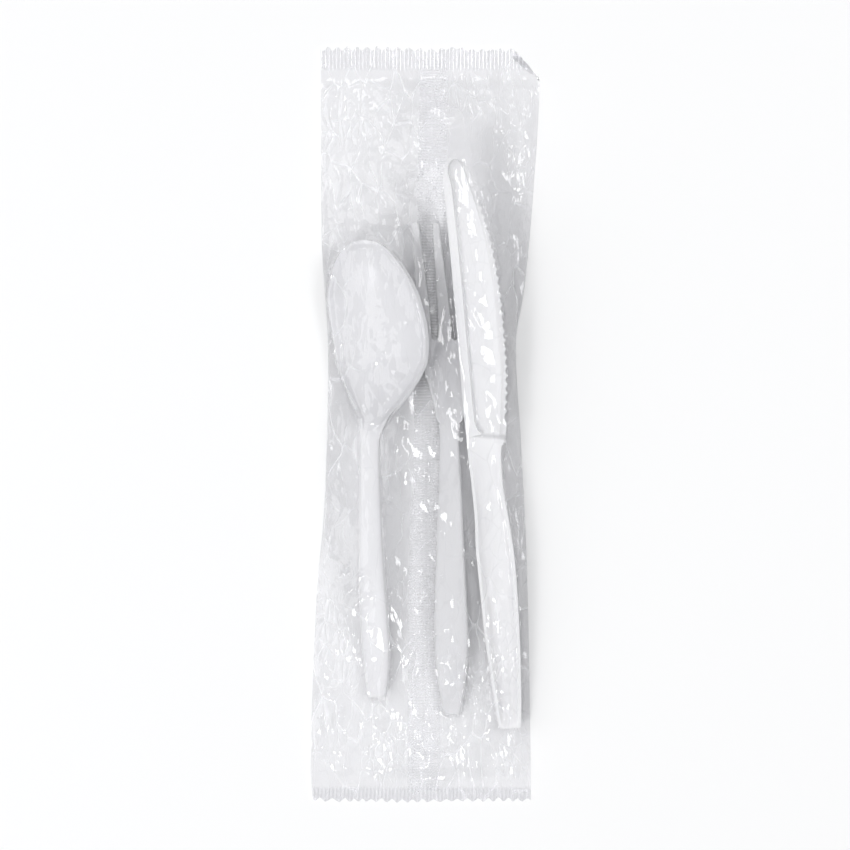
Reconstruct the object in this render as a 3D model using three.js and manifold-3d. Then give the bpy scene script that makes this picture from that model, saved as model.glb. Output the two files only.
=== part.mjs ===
// Wrapped plastic cutlery: a spoon, a fork and a knife in a clear film sleeve that is crimped shut at both ends.
// Millimetres. +Z is up, the pack lies on its back, and the tips of the cutlery point along +Y.

import * as THREE from 'three';
import { mergeVertices } from 'three/addons/utils/BufferGeometryUtils.js';
import Module from 'manifold-3d';

const wasm = await Module();
wasm.setup();

// Cutlery.
const cutleryWall = 1.2;
const spoonLength = 139.5;
const spoonNeck = 78;
const bowlDepth = 5;
const forkLength = 150.5;
const forkNeck = 85.5;
const tineCount = 4;
const tinePitch = 6.3;
const tineRootWidth = 4.3;
const tineTipWidth = 2.1;
const slotDepth = 35;
const knifeLength = 174.2;
const knifeHeel = 89.4;
const knifeRimHeight = 3.4;
const knifeRimWidth = 0.9;
const knifeWebHeight = 1.9;
const toothPitch = 2.7;
const toothDepth = 0.7;
const serrationStart = 94;
const serrationEnd = 166;

// Where each piece lies: the middle of its handle end, its lean in plan, its roll and its pitch.
const spoonPlace = { end: [-15.1, -83.2, 3.4], lean: 0, roll: 19, pitch: 0 };
const forkPlace = { end: [8, -88.5, 3.6], lean: 0, roll: 13, pitch: 0 };
const knifePlace = { end: [26.4, -92.4, 0.5], lean: 5.8, roll: 5, pitch: 4 };

// Film sleeve.
const filmWall = 0.2;
const finThickness = 0.25;
const packHalfLength = 116;
const topSeal = 6.9;
const bottomSeal = 5;
const sealToothPitch = 3.15;
const sealToothDepth = 1.7;
const sideHeight = 1.4;
const openingBelowSeal = 2.8;
const leastHollow = 0.15;
const cornerFold = { top: 26.4, side: 35, height: 106.4 };
const trimHalfWidth = 79.2;
const filmClearance = 0.9;
const sealTop = finThickness + 2 * filmWall;
const ventRadius = 0.8;
const ventPlace = [-20, -40, 0];
const gridCells = { across: 18, along: 48 };
const gridHalf = 118;
const settlingPasses = 400;

// A smooth value through a few stations [position, value], without overshoot.
function through(stations) {
  const slope = (i) => (stations[i + 1][1] - stations[i][1]) / (stations[i + 1][0] - stations[i][0]);
  const tangent = (i) => {
    if (i === 0 || i === stations.length - 1) return 0;
    const before = slope(i - 1);
    const after = slope(i);
    return before * after > 0 ? (2 * before * after) / (before + after) : 0;
  };
  return (position) => {
    const last = stations.length - 2;
    let i = stations.findIndex((s) => s[0] > position) - 1;
    i = i < 0 ? (position <= stations[0][0] ? 0 : last) : i;
    const run = stations[i + 1][0] - stations[i][0];
    const t = THREE.MathUtils.clamp((position - stations[i][0]) / run, 0, 1);
    const rise = stations[i + 1][1] - stations[i][1];
    const bend = tangent(i) * run * t * (1 - t) ** 2 - tangent(i + 1) * run * t * t * (1 - t);
    return stations[i][1] + rise * t * t * (3 - 2 * t) + bend;
  };
}

function blend(a, b, share) {
  return a.map((point, i) => new THREE.Vector2(...point).lerp(new THREE.Vector2(...b[i]), share));
}

// The underside of a wall whose upper side runs from left to right.
function underside(top, thickness) {
  return top.map((point, i) => {
    const before = top[Math.max(i - 1, 0)];
    const after = top[Math.min(i + 1, top.length - 1)];
    const along = after.clone().sub(before).normalize();
    return new THREE.Vector2(point.x + along.y * thickness, point.y - along.x * thickness);
  });
}

// A closed solid through a run of sections, each an upper line and a lower line from left to right.
function loft(sections) {
  const positions = [];
  const faces = [];
  const width = sections[0].top.length;
  const quad = (a, b, c, d) => faces.push(a, b, c, a, c, d);
  sections.forEach(({ y, top, under }) => {
    [...top, ...under.slice().reverse()].forEach((point) => positions.push(point.x, y, point.y));
  });
  const ring = width * 2;
  for (let s = 0; s < sections.length - 1; s += 1) {
    for (let i = 0; i < ring; i += 1) {
      const next = (i + 1) % ring;
      quad(s * ring + i, s * ring + next, (s + 1) * ring + next, (s + 1) * ring + i);
    }
  }
  const far = (sections.length - 1) * ring;
  for (let i = 0; i < width - 1; i += 1) {
    quad(i, ring - 1 - i, ring - 2 - i, i + 1);
    quad(far + i, far + i + 1, far + ring - 2 - i, far + ring - 1 - i);
  }
  const geometry = new THREE.BufferGeometry();
  geometry.setAttribute('position', new THREE.Float32BufferAttribute(positions, 3));
  geometry.setIndex(faces);
  return geometry;
}

function toSolid(geometry) {
  const plain = geometry.clone();
  plain.deleteAttribute('normal');
  plain.deleteAttribute('uv');
  const merged = mergeVertices(plain, 1e-4);
  const vertProperties = new Float32Array(merged.attributes.position.array);
  const triVerts = new Uint32Array(merged.index.array);
  return new wasm.Manifold(new wasm.Mesh({ numProp: 3, vertProperties, triVerts }));
}

function toGeometry(solid) {
  const mesh = solid.getMesh();
  const geometry = new THREE.BufferGeometry();
  geometry.setAttribute('position', new THREE.BufferAttribute(mesh.vertProperties, 3));
  geometry.setIndex(new THREE.BufferAttribute(mesh.triVerts, 1));
  return geometry;
}

// An upright prism on a plan outline.
function prism(shape, bottom, top) {
  const geometry = new THREE.ExtrudeGeometry(shape, { depth: top - bottom, bevelEnabled: false });
  return toSolid(geometry.translate(0, 0, bottom));
}

// Positions of the sections: close together at both ends, so that the ends come out round.
function stationsOf(length, count, roundness) {
  return Array.from({ length: count + 1 }, (_, i) => {
    const even = i / count;
    const eased = (1 - Math.cos(Math.PI * even)) / 2;
    return length * THREE.MathUtils.lerp(even, eased, roundness);
  });
}

// Half of a handle with its edges turned down, from the middle out: share of half width, share of depth.
const turnedEdge = [[0, 0], [0.45, -0.03], [0.82, -0.12], [0.97, -0.4], [1, -1]];
const flatPlate = [[0, 0], [0.28, 0], [0.55, 0], [0.8, 0], [1, 0]];
const hollowBowl = [[0, -1], [0.28, -0.93], [0.55, -0.7], [0.8, -0.34], [1, 0]];

function wholeSection(half, halfWidth, depth) {
  const right = half.map(([x, z]) => [x * halfWidth, z * depth]);
  const left = right.slice(1).reverse().map(([x, z]) => [-x, z]);
  return [...left, ...right];
}

function spoonGeometry() {
  const halfWidth = through([
    [0, 2.6], [1.2, 3.1], [18, 4.5], [50, 3.7], [spoonNeck, 3.2], [85, 4.7], [92, 8.9], [98, 12.3],
    [103, 14.2], [112, 15], [121, 14.4], [128, 12.4], [132, 10.5], [135.5, 8.1], [137.6, 5.8], [spoonLength, 2.2],
  ]);
  const height = through([[0, 0], [40, 5.6], [72, 8.4], [spoonNeck, 8.6], [104, 4.2], [spoonLength, 6.6]]);
  const edge = through([[0, 1.6], [spoonNeck - 8, 2.2], [spoonNeck, 1.6], [90, 0]]);
  const hollow = through([[spoonNeck, 0], [90, 2.2], [102, bowlDepth], [120, bowlDepth], [spoonLength, 0.6]]);
  const sideways = through([
    [0, 0], [spoonNeck, 0.7], [85, 1.8], [92, 2.8], [99, 3.1], [108, 2.7], [125, 0.3], [spoonLength, -1.4],
  ]);
  const sections = stationsOf(spoonLength, 44, 0.45).map((y) => {
    const share = THREE.MathUtils.smoothstep(y, spoonNeck - 4, spoonNeck + 14);
    const handle = wholeSection(turnedEdge, halfWidth(y), edge(y));
    const bowl = wholeSection(hollowBowl, halfWidth(y), hollow(y));
    const top = blend(handle, bowl, share);
    top.forEach((point) => point.add(new THREE.Vector2(sideways(y), height(y))));
    return { y, top, under: underside(top, cutleryWall) };
  });
  return loft(sections);
}

// The plan of the four tines, with everything behind them left whole.
function tineMask() {
  const root = forkLength - slotDepth;
  const shape = new THREE.Shape();
  const far = forkLength - tineTipWidth / 2;
  const outer = ((tineCount - 1) / 2) * tinePitch;
  shape.moveTo(-outer * 2, -1);
  shape.lineTo(outer * 2, -1);
  shape.lineTo(outer * 2, root);
  for (let i = tineCount - 1; i >= 0; i -= 1) {
    const middle = i * tinePitch - outer;
    shape.lineTo(middle + tineRootWidth / 2 + (i === tineCount - 1 ? 0.4 : 0), root);
    shape.lineTo(middle + tineTipWidth / 2, far);
    shape.absarc(middle, far, tineTipWidth / 2, 0, Math.PI, false);
    shape.lineTo(middle - tineRootWidth / 2 - (i === 0 ? 0.4 : 0), root);
    if (i > 0) shape.absarc(middle - tinePitch / 2, root, (tinePitch - tineRootWidth) / 2, 0, -Math.PI, true);
  }
  shape.lineTo(-outer * 2, root);
  return shape;
}

function forkGeometry() {
  const halfWidth = through([
    [0, 2.4], [1.2, 2.9], [23, 5.3], [55, 4.1], [forkNeck, 3.1], [92, 4.6], [108, 10.2], [113, 11.5],
    [118, 11.9], [forkLength, 11.9],
  ]);
  const height = through([
    [0, 0], [40, 2.6], [78, 3.5], [forkNeck, 3.4], [112, 0.9], [130, 1.2], [forkLength, 3.2],
  ]);
  const edge = through([[0, 1.6], [forkNeck - 8, 2.2], [forkNeck, 1.6], [98, 0]]);
  const sideways = through([[forkNeck, 0], [100, 0.9], [115, 1.2], [140, -0.4], [forkLength, -0.9]]);
  const sections = stationsOf(forkLength, 36, 0.3).map((y) => {
    const share = THREE.MathUtils.smoothstep(y, forkNeck - 2, forkNeck + 16);
    const handle = wholeSection(turnedEdge, halfWidth(y), edge(y));
    const top = blend(handle, wholeSection(flatPlate, halfWidth(y), 1), share);
    top.forEach((point) => point.add(new THREE.Vector2(0, height(y))));
    return { y, top, under: underside(top, cutleryWall) };
  });
  const cut = toSolid(loft(sections)).intersect(prism(tineMask(), -20, 20));
  const bent = cut.warp((point) => {
    point[0] += sideways(point[1]);
  });
  return toGeometry(bent);
}

// Positions of the knife's sections: even along the handle, then one at each tooth's tip and root.
function knifeStations() {
  const handle = [0, 0.6, 2, 8, 18, 30, 42, 54, 66, 76, 84, knifeHeel - 0.5, knifeHeel, knifeHeel + 1.2];
  const teeth = Math.round(((serrationEnd - serrationStart) / toothPitch) * 2);
  const blade = Array.from({ length: teeth + 1 }, (_, i) => serrationStart + (i * toothPitch) / 2);
  const tip = [168.2, 170.2, 171.8, 173, 173.8, knifeLength];
  return [...handle, ...blade, ...tip];
}

// The knife lies on its face, so its hollow handle and the rib along its spine show.
function knifeGeometry() {
  const left = through([
    [0, -3], [1.5, -3.6], [15, -4.4], [32, -5.1], [54, -5.1], [68, -4.4], [93, -4.6], [120, -4.2], [147, -3.8],
    [168, -3.7], [171.6, -3], [173.4, -1.9], [knifeLength, -0.6],
  ]);
  const right = through([
    [0, 3], [1.5, 3.4], [39, 6.1], [50, 6.4], [61, 6], [75, 5.1], [86, 5.6], [knifeHeel, 7], [knifeHeel + 4, 7.9],
    [105, 9.6], [115, 10.2], [130, 10.4], [147, 9.3], [158, 7.3], [168, 4.7], [171.6, 3.7], [173.4, 2.4],
    [knifeLength, 0.9],
  ]);
  const channel = through([[0, 0.4], [5, 2.2], [20, 3], [55, 2.4], [80, 0.9], [knifeHeel, 0.2]]);
  const rib = through([[knifeHeel, 2.9], [serrationEnd, 2.3], [knifeLength, 0.6]]);
  const sections = knifeStations().map((y) => {
    const a = left(y);
    const b = right(y) - toothCut(y);
    return y < knifeHeel ? handleSection(y, a, b, channel(y)) : bladeSection(y, a, b, rib(y));
  });
  return loft(sections);
}

function toothCut(y) {
  if (y < serrationStart || y > serrationEnd) return 0;
  return Math.round((y - serrationStart) / (toothPitch / 2)) % 2 ? toothDepth : 0;
}

// An open channel: two thin rims and a rounded floor between them.
function handleSection(y, a, b, depth) {
  const rim = knifeRimWidth;
  const sole = through([[0, 1.4], [12, 0], [60, 0.2], [knifeHeel, 1.4]])(y);
  const middle = (a + b) / 2;
  const floor = Math.max(knifeRimHeight - depth, sole + 0.5);
  const top = [
    [a, knifeRimHeight], [a + rim, knifeRimHeight], [a + rim + 0.7, (floor + knifeRimHeight) / 2],
    [middle, floor], [b - rim - 0.7, (floor + knifeRimHeight) / 2], [b - rim, knifeRimHeight], [b, knifeRimHeight],
  ];
  const under = [
    [a, knifeRimHeight - 1], [a + 0.4, sole + 1], [a + 1.5, sole + 0.2], [middle, sole], [b - 1.5, sole + 0.2],
    [b - 0.4, sole + 1], [b, knifeRimHeight - 1],
  ];
  return section(y, top, under);
}

// A flat web with a rib on its left edge and a thinner cutting edge on its right.
function bladeSection(y, a, b, rib) {
  const step = y > knifeHeel ? knifeWebHeight : knifeRimHeight;
  const edge = 1.9 * (rib / 2.9);
  const ground = 1.2 * (rib / 2.9);
  const top = [
    [a, knifeRimHeight], [a + rib, knifeRimHeight], [a + rib + 0.3, step], [(a + b) / 2 + 0.6, step],
    [b - edge, step], [b - ground, step - 0.1], [b, step - 0.4],
  ];
  const under = [
    [a, 1.1], [a + 0.6, 0.8], [a + rib + 0.3, 0.8], [(a + b) / 2 + 0.6, 0.8], [b - edge, 0.8],
    [b - ground, 0.9], [b, 1.1],
  ];
  return section(y, top, under);
}

function section(y, top, under) {
  const points = (line) => line.map(([x, z]) => new THREE.Vector2(x, z));
  return { y, top: points(top), under: points(under) };
}

// One side of the sleeve in plan, drawn in at the waist where the film is tight.
const leftSide = through([
  [-packHalfLength, -34.4], [-106, -35], [-53, -33.2], [-21, -30.6], [20, -29.6], [60, -31.7],
  [packHalfLength, -31.9],
]);
const rightSide = through([
  [-packHalfLength, 32.4], [-47, 31.3], [-6, 29.4], [24, 27.8], [41, 30.3], [69, 33],
  [cornerFold.height, cornerFold.side], [packHalfLength, cornerFold.side],
]);

// The plan that trims the two ends: zig-zag cuts, and the top right corner taken off by its fold.
function trimmedEnds() {
  const { top, side, height } = cornerFold;
  const points = zigzag(-trimHalfWidth, trimHalfWidth, -packHalfLength, 1);
  points.push([trimHalfWidth, height], [side, height], [top, packHalfLength]);
  points.push(...zigzag(top - 0.4, -trimHalfWidth, packHalfLength, -1));
  return new THREE.Shape(points.map(([x, y]) => new THREE.Vector2(x, y)));
}

function zigzag(from, to, y, inward) {
  const count = Math.round(Math.abs(to - from) / sealToothPitch) * 2;
  const step = (to - from) / count;
  const cut = inward * sealToothDepth;
  return Array.from({ length: count + 1 }, (_, i) => [from + i * step, y + (i % 2) * cut]);
}

// The plan of the space between the two end seals.
function betweenSeals() {
  const low = bottomSeal - packHalfLength;
  const high = packHalfLength - topSeal - openingBelowSeal;
  const corners = [[-gridHalf, low], [gridHalf, low], [gridHalf, high], [-gridHalf, high]];
  return new THREE.Shape(corners.map(([x, y]) => new THREE.Vector2(x, y)));
}

function gridX(i, y, inset) {
  return THREE.MathUtils.lerp(leftSide(y) + inset, rightSide(y) - inset, i / gridCells.across);
}

function gridY(j) {
  return ((2 * j) / gridCells.along - 1) * gridHalf;
}

// How high the front sheet has to stand over each point of its grid to clear the cutlery.
function heightsOver(meshes) {
  const { across, along } = gridCells;
  const stand = Array.from({ length: across + 1 }, () => new Array(along + 1).fill(0));
  const point = new THREE.Vector3();
  meshes.forEach((mesh) => {
    const position = mesh.geometry.attributes.position;
    for (let n = 0; n < position.count; n += 1) {
      point.fromBufferAttribute(position, n).applyMatrix4(mesh.matrixWorld);
      const left = leftSide(point.y);
      const u = ((point.x - left) / (rightSide(point.y) - left)) * across;
      const v = ((point.y + gridHalf) / (2 * gridHalf)) * along;
      for (let i = Math.floor(u); i <= Math.ceil(u); i += 1) {
        for (let j = Math.floor(v) - 1; j <= Math.ceil(v) + 1; j += 1) {
          stand[i][j] = Math.max(stand[i][j], point.z + filmClearance);
        }
      }
    }
  });
  return stand;
}

// The front sheet as a taut skin: level with its neighbours, but never below what it covers.
function tautFront(meshes) {
  const { across, along } = gridCells;
  const stand = heightsOver(meshes);
  const heights = stand.map((column) => column.map((value) => Math.max(value, sealTop)));
  for (let pass = 0; pass < settlingPasses; pass += 1) {
    for (let j = 0; j <= along; j += 1) {
      const sealed = gridY(j) > packHalfLength - topSeal || gridY(j) < bottomSeal - packHalfLength;
      for (let i = 0; i <= across; i += 1) {
        const side = i === 0 || i === across;
        const level = sealed || side ? 0 : meanAround(heights, i, j);
        const free = sealed ? sealTop : Math.max(level, side ? sideHeight : 0);
        heights[i][j] = Math.max(stand[i][j], free);
      }
    }
  }
  return heights;
}

function meanAround(heights, i, j) {
  return (heights[i - 1][j] + heights[i + 1][j] + heights[i][j - 1] + heights[i][j + 1]) / 4;
}

// The space between a height field and a flat floor.
function under(heights, floor, wall) {
  const sections = [];
  for (let j = 0; j <= gridCells.along; j += 1) {
    const level = (column) => Math.max(column[j] - wall, floor + leastHollow);
    const row = heights.map((column, i) => [gridX(i, gridY(j), wall), level(column)]);
    sections.push(section(gridY(j), row, row.map(([x]) => [x, floor])));
  }
  return toSolid(loft(sections));
}

function sleeveGeometry(contents) {
  const heights = tautFront(contents);
  const outside = under(heights, finThickness, 0).intersect(prism(trimmedEnds(), -1, 30));
  const inside = under(heights, finThickness + filmWall, filmWall).intersect(prism(betweenSeals(), -1, 30));
  const vent = new THREE.CylinderGeometry(ventRadius, ventRadius, 2, 16).rotateX(Math.PI / 2);
  const opening = toSolid(vent.translate(...ventPlace));
  return toGeometry(outside.subtract(inside).add(finSeal()).add(foldedCorner()).subtract(opening));
}

// The lengthwise seal of the back: a strip that lies flat under the sleeve.
function finSeal() {
  const outline = [[-5.3, -112], [4.6, -112], [5.6, 0], [7.1, 112], [-1.7, 112], [-3.4, 0], [-5.3, -54]];
  const shape = new THREE.Shape(outline.map(([x, y]) => new THREE.Vector2(x, y)));
  return prism(shape, 0, finThickness + filmWall / 2);
}

// The corner of the top seal, folded over on to the front.
function foldedCorner() {
  const outline = [[26.6, 107.2], [34.3, 106.9], [26.6, 115.4]];
  const shape = new THREE.Shape(outline.map(([x, y]) => new THREE.Vector2(x, y)));
  return prism(shape, sealTop - 0.1, sealTop + filmWall);
}

function plastic(color, roughness) {
  return new THREE.MeshStandardMaterial({ color, roughness, metalness: 0 });
}

function named(name, geometry, material) {
  const mesh = new THREE.Mesh(geometry, material);
  mesh.name = name;
  mesh.geometry.computeVertexNormals();
  return mesh;
}

function lay(mesh, place) {
  const radians = THREE.MathUtils.degToRad;
  mesh.rotation.set(radians(place.pitch), radians(-place.roll), radians(place.lean), 'ZXY');
  mesh.position.set(...place.end);
  mesh.updateMatrixWorld();
  return mesh;
}

const spoon = lay(named('spoon', spoonGeometry(), plastic(0xf4f4f5, 0.35)), spoonPlace);
const fork = lay(named('fork', forkGeometry(), plastic(0xf2f2f4, 0.35)), forkPlace);
const knife = lay(named('knife', knifeGeometry(), plastic(0xf6f6f7, 0.35)), knifePlace);

const clearFilm = plastic(0xe9e8ee, 0.12);
clearFilm.transparent = true;
clearFilm.opacity = 0.3;
const filmWrapper = named('film_wrapper', sleeveGeometry([spoon, fork, knife]), clearFilm);

const pack = new THREE.Group();
pack.add(filmWrapper, spoon, fork, knife);

export default pack;
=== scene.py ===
# A clear film sleeve with a white plastic spoon, fork and knife inside, lying flat on a pale table.
# Shapes are worked out in millimetres and turned into metres when a mesh is made.

import math

import bpy
import numpy as np
from mathutils import Matrix, Vector
from mathutils.bvhtree import BVHTree


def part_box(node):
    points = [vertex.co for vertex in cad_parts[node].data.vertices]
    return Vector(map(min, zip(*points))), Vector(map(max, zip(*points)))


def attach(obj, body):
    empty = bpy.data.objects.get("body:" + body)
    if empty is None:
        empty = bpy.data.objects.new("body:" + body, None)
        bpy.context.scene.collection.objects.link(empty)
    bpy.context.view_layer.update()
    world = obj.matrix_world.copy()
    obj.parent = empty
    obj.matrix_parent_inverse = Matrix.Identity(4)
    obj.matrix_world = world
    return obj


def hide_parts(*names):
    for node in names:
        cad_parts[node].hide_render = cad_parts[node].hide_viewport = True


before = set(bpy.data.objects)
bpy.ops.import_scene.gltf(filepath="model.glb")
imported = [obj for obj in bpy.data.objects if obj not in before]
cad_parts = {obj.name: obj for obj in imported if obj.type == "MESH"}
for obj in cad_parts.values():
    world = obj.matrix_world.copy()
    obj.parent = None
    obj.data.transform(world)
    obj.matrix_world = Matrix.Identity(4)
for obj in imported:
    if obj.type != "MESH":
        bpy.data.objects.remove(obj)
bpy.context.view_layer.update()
mm = 0.001
print("frame loaded")


def through(stations):
    # a smooth value through a few stations (position, value), without overshoot
    at = np.array([s[0] for s in stations], float)
    value = np.array([s[1] for s in stations], float)
    slope = np.diff(value) / np.diff(at)
    tangent = np.zeros(len(at))
    for i in range(1, len(at) - 1):
        before, after = slope[i - 1], slope[i]
        if before * after > 0:
            tangent[i] = 2 * before * after / (before + after)

    def valueAt(position):
        p = np.asarray(position, float)
        i = np.clip(np.searchsorted(at, p, side="right") - 1, 0, len(at) - 2)
        run = at[i + 1] - at[i]
        t = np.clip((p - at[i]) / run, 0, 1)
        rise = (value[i + 1] - value[i]) * t * t * (3 - 2 * t)
        bend = tangent[i] * run * t * (1 - t) ** 2 - tangent[i + 1] * run * t * t * (1 - t)
        return value[i] + rise + bend

    return valueAt


def smoothStep(value, low, high):
    t = np.clip((np.asarray(value, float) - low) / (high - low), 0, 1)
    return t * t * (3 - 2 * t)


def newObject(name, points, faces, materials, smoothAngle=40):
    mesh = bpy.data.meshes.new(name)
    mesh.from_pydata((np.asarray(points) * mm).tolist(), [], faces)
    mesh.update()
    for material in materials:
        mesh.materials.append(material)
    mesh.shade_smooth()
    mesh.set_sharp_from_angle(angle=math.radians(smoothAngle))
    piece = bpy.data.objects.new(name, mesh)
    bpy.context.scene.collection.objects.link(piece)
    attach(piece, "root")
    return piece


def loft(tops, unders, along):
    # closed wall through sections: tops and unders are (section, point, x or z), left to right
    count, width = tops.shape[:2]
    ring = np.concatenate([tops, unders[:, ::-1]], axis=1)
    size = width * 2
    points = np.empty((count, size, 3))
    points[..., 0] = ring[..., 0]
    points[..., 1] = along[:, None]
    points[..., 2] = ring[..., 1]
    faces = []
    for s in range(count - 1):
        for i in range(size):
            n = (i + 1) % size
            faces.append((s * size + i, s * size + n, (s + 1) * size + n, (s + 1) * size + i))
    far = (count - 1) * size
    for i in range(width - 1):
        faces.append((i, size - 1 - i, size - 2 - i, i + 1))
        faces.append((far + i, far + i + 1, far + size - 2 - i, far + size - 1 - i))
    return points.reshape(-1, 3), faces


def offsetBelow(tops, thickness):
    # the same line moved square to itself, to the underside of the wall
    along = np.empty_like(tops)
    along[:, 1:-1] = tops[:, 2:] - tops[:, :-2]
    along[:, 0] = tops[:, 1] - tops[:, 0]
    along[:, -1] = tops[:, -1] - tops[:, -2]
    along /= np.linalg.norm(along, axis=2, keepdims=True)
    under = tops.copy()
    under[..., 0] += along[..., 1] * thickness
    under[..., 1] -= along[..., 0] * thickness
    return under


def layInPlace(piece, node, place):
    # turns the mesh as the moulding lies in the sleeve, then sets it into its node's box
    turn = Matrix.Rotation(math.radians(place["lean"]), 4, "Z")
    turn = turn @ Matrix.Rotation(math.radians(place["pitch"]), 4, "X")
    turn = turn @ Matrix.Rotation(math.radians(-place["roll"]), 4, "Y")
    piece.data.transform(turn)
    points = np.array([v.co for v in piece.data.vertices])
    low, high = (np.array(c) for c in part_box(node))
    shift = (low + high) / 2 - (points.min(0) + points.max(0)) / 2
    piece.data.transform(Matrix.Translation(Vector(shift)))
    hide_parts(node)


def applyModifiers(piece):
    view = bpy.context.view_layer
    view.update()
    mesh = bpy.data.meshes.new_from_object(piece.evaluated_get(view.depsgraph))
    piece.modifiers.clear()
    old = piece.data
    piece.data = mesh
    bpy.data.meshes.remove(old)


def roundEdges(piece, width, segments=3, angle=40):
    bevel = piece.modifiers.new("round edges", "BEVEL")
    bevel.width = width * mm
    bevel.segments = segments
    bevel.limit_method = "ANGLE"
    bevel.angle_limit = math.radians(angle)
    bevel.harden_normals = False
    applyModifiers(piece)
    piece.data.shade_smooth()


def newMaterial(name):
    material = bpy.data.materials.new(name)
    material.use_nodes = True
    tree = material.node_tree
    tree.nodes.clear()
    output = tree.nodes.new("ShaderNodeOutputMaterial")
    return material, tree, output


def addNode(tree, kind, **values):
    node = tree.nodes.new(kind)
    for key, value in values.items():
        if key in node.inputs:
            node.inputs[key].default_value = value
        else:
            setattr(node, key, value)
    return node


plasticLook = {
    "subsurface": 0.12,
    "subsurfaceRadius": (0.002, 0.002, 0.0018),
    "subsurfaceScale": 0.6,
    "ior": 1.49,
    "specular": 0.5,
    "flow": (90, 22, 90),
    "glossSpread": (-0.05, 0.08),
    "grainScale": 900,
    "grainStrength": 0.12,
    "grainHeight": 0.1,
}


def mouldedPlastic(name, look):
    # milky plastic with faint flow marks and a fine grain
    material, tree, output = newMaterial(name)
    link = tree.links.new
    shader = addNode(tree, "ShaderNodeBsdfPrincipled")
    shader.inputs["Subsurface Weight"].default_value = plasticLook["subsurface"]
    shader.inputs["Subsurface Radius"].default_value = plasticLook["subsurfaceRadius"]
    shader.inputs["Subsurface Scale"].default_value = plasticLook["subsurfaceScale"]
    shader.inputs["IOR"].default_value = plasticLook["ior"]
    shader.inputs["Specular IOR Level"].default_value = plasticLook["specular"]
    where = addNode(tree, "ShaderNodeTexCoord")
    flow = addNode(tree, "ShaderNodeMapping")
    flow.inputs["Scale"].default_value = plasticLook["flow"]
    cloud = addNode(tree, "ShaderNodeTexNoise")
    cloud.inputs["Scale"].default_value = 1.0
    cloud.inputs["Detail"].default_value = 4
    tint = addNode(tree, "ShaderNodeValToRGB")
    tint.color_ramp.elements[0].color = (*look["shade"], 1)
    tint.color_ramp.elements[0].position = 0.3
    tint.color_ramp.elements[1].color = (*look["colour"], 1)
    tint.color_ramp.elements[1].position = 0.7
    gloss = addNode(tree, "ShaderNodeMapRange")
    smoother, rougher = plasticLook["glossSpread"]
    gloss.inputs["To Min"].default_value = look["roughness"] + smoother
    gloss.inputs["To Max"].default_value = look["roughness"] + rougher
    grain = addNode(tree, "ShaderNodeTexNoise")
    grain.inputs["Scale"].default_value = plasticLook["grainScale"]
    grain.inputs["Detail"].default_value = 3
    bump = addNode(tree, "ShaderNodeBump")
    bump.inputs["Strength"].default_value = plasticLook["grainStrength"]
    bump.inputs["Distance"].default_value = plasticLook["grainHeight"] * mm
    link(where.outputs["Object"], flow.inputs["Vector"])
    link(flow.outputs["Vector"], cloud.inputs["Vector"])
    link(where.outputs["Object"], grain.inputs["Vector"])
    link(cloud.outputs["Fac"], tint.inputs["Fac"])
    link(cloud.outputs["Fac"], gloss.inputs["Value"])
    link(grain.outputs["Fac"], bump.inputs["Height"])
    link(tint.outputs["Color"], shader.inputs["Base Color"])
    link(gloss.outputs["Result"], shader.inputs["Roughness"])
    link(bump.outputs["Normal"], shader.inputs["Normal"])
    link(shader.outputs["BSDF"], output.inputs["Surface"])
    return material


filmLook = {
    "clear": (0.9, 0.9, 0.907, 1),
    "sealed": (0.85, 0.85, 0.86, 1),
    # tint of film seen at a slant: partly the real loss of light through slanted film, partly painted shade
    # for the shadows under its wrinkles
    "steepLossAndShade": (0.87, 0.87, 0.883, 1),
    "tintFrom": 0.08,
    "tintTo": 0.85,
    # white mixed into the film: painted highlights along the folds, and the real haze of the pressed seals
    "hazeAndFoldHighlight": (0.9, 0.9, 0.93, 1),
    "lampsThrough": (0.985, 0.985, 0.987, 1),
    "haze": {"ribs": (0.0, 0.08), "waffle": (0.0, 0.2)},
    "roughness": 0.1,
    "ior": 1.6,
    # white is the strength of the painted highlight along each fold
    "largeFolds": {"scale": 130, "height": 1.3, "line": 0.05, "white": 0.26},
    "smallFolds": {"scale": 330, "height": 0.62, "line": 0.09, "white": 0.16},
    "bend": 0.006,
    "bendScale": 70,
    "patchScale": 48,
    "grain": {"turn": 0.42, "across": 1.5, "along": 0.55},
    # patches with large folds, and the rest with small ones: noise from, to, least, most
    "largePatches": (0.44, 0.6, 0.08, 1),
    "smallPatches": (0.36, 0.52, 1, 0.04),
    # folds fade where the film stands high on the cutlery: height from, to, share left
    "calmAbove": (5, 11, 0.22),
    "ribPitch": 1.15,
    "wafflePitch": 0.9,
    "waffleAcross": 0.45,
    "pressHeight": 0.075,
    "pressWhite": (-0.6, 1.2),
}


def bumpFrom(tree, height, tall, normal=None):
    bump = addNode(tree, "ShaderNodeBump")
    bump.inputs["Strength"].default_value = 1
    bump.inputs["Distance"].default_value = tall * mm
    tree.links.new(height, bump.inputs["Height"])
    if normal:
        tree.links.new(normal, bump.inputs["Normal"])
    return bump.outputs["Normal"]


def mathOf(tree, operation, first, second):
    node = addNode(tree, "ShaderNodeMath", operation=operation)
    for socket, value in zip(node.inputs, (first, second)):
        if isinstance(value, (int, float)):
            socket.default_value = value
        else:
            tree.links.new(value, socket)
    return node.outputs["Value"]


def ranged(tree, value, low, high, first, last):
    node = addNode(tree, "ShaderNodeMapRange", interpolation_type="SMOOTHSTEP")
    node.inputs["From Min"].default_value = low
    node.inputs["From Max"].default_value = high
    node.inputs["To Min"].default_value = first
    node.inputs["To Max"].default_value = last
    tree.links.new(value, node.inputs["Value"])
    return node.outputs["Result"]


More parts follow.
